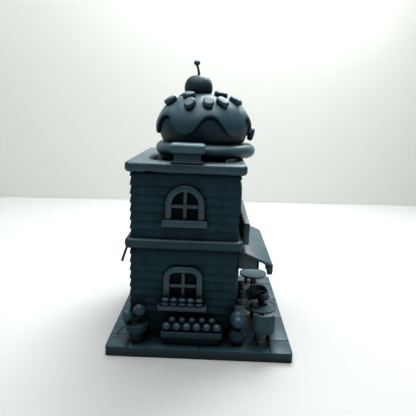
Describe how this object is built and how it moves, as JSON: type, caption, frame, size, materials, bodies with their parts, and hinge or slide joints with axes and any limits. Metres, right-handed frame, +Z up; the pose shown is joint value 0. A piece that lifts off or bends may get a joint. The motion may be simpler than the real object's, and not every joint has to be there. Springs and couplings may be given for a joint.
{
  "type": "miniature bakery building",
  "caption": "Two-storey miniature bakery with a terrace, awning and planters; its upper floor, roof and giant iced cake lift off. Tabletop terrain.",
  "frame": {"origin": "centre of the base plate's underside", "axes": "+X along the shop front, towards the far end wall; +Y from the terrace to the back wall; +Z up"},
  "size_m": [0.08, 0.07, 0.1109],
  "materials": {
    "base_resin": "unpainted dark blue-grey printed resin, matte",
    "wall_resin": "unpainted dark blue-grey printed resin, matte",
    "trim_resin": "unpainted dark blue-grey printed resin, matte with a faint sheen",
    "pane_resin": "unpainted dark blue-grey printed resin with a woven support texture",
    "door_resin": "unpainted dark blue-grey printed resin, matte",
    "awning_resin": "unpainted dark blue-grey printed resin, matte",
    "plant_resin": "unpainted dark blue-grey printed resin, faint sheen",
    "pot_resin": "unpainted dark blue-grey printed resin, matte",
    "furniture_resin": "unpainted dark blue-grey printed resin, matte",
    "sponge_resin": "unpainted dark blue-grey printed resin, matte",
    "icing_resin": "unpainted dark blue-grey printed resin, faint sheen",
    "cherry_resin": "unpainted dark blue-grey printed resin, faint sheen"
  },
  "bodies": {
    "ground_floor": {"base_plate": "base_resin", "lower_left_wall": "wall_resin", "lower_right_wall": "wall_resin", "lower_front_wall": "wall_resin", "lower_back_wall": "wall_resin", "lower_left_window": "trim_resin", "lower_left_pane": "pane_resin", "lower_right_window": "trim_resin", "lower_right_pane": "pane_resin", "window_box": "trim_resin", "window_box_flowers": "plant_resin", "door_frame": "trim_resin", "door": "door_resin", "door_knob": "trim_resin", "shop_window_frames": "trim_resin", "shop_window_panes": "pane_resin", "shop_flower_boxes": "trim_resin", "shop_flowers": "plant_resin", "awning_box": "awning_resin", "awning_panel": "awning_resin", "awning_valance": "awning_resin", "planter_box": "pot_resin", "planter_flowers": "plant_resin", "plant_pot": "pot_resin", "pot_bushes": "plant_resin", "round_pot": "pot_resin", "round_pot_bushes": "plant_resin", "table_1_top": "furniture_resin", "table_1_leg": "furniture_resin", "table_2_top": "furniture_resin", "table_2_leg": "furniture_resin", "chair_seats": "furniture_resin", "chair_backs": "furniture_resin", "chair_legs": "furniture_resin", "saucer": "furniture_resin", "teacup": "furniture_resin", "cake_dish": "furniture_resin"},
    "upper_floor": {"floor_slab": "trim_resin", "upper_left_wall": "wall_resin", "upper_right_wall": "wall_resin", "upper_front_wall": "wall_resin", "upper_back_wall": "wall_resin", "upper_left_window": "trim_resin", "upper_left_pane": "pane_resin", "upper_right_window": "trim_resin", "upper_right_pane": "pane_resin", "upper_sills": "trim_resin", "upper_front_windows": "trim_resin", "upper_front_panes": "pane_resin", "shop_sign": "trim_resin"},
    "roof": {"roof_slab": "trim_resin", "chimney_stack": "wall_resin", "chimney_cap": "trim_resin"},
    "cake_topper": {"cake_foot": "sponge_resin", "cake": "sponge_resin", "icing": "icing_resin", "sprinkles": "icing_resin", "cherry": "cherry_resin", "cherry_stalk": "cherry_resin"}
  },
  "joints": [
    {"name": "upper_floor_lift", "type": "slide", "parent": "ground_floor", "child": "upper_floor", "axis": [0, 0, 1], "range_m": [0, 0.03]},
    {"name": "roof_lift", "type": "slide", "parent": "upper_floor", "child": "roof", "axis": [0, 0, 1], "range_m": [0, 0.03]},
    {"name": "cake_lift", "type": "slide", "parent": "roof", "child": "cake_topper", "axis": [0, 0, 1], "range_m": [0, 0.03]}
  ]
}
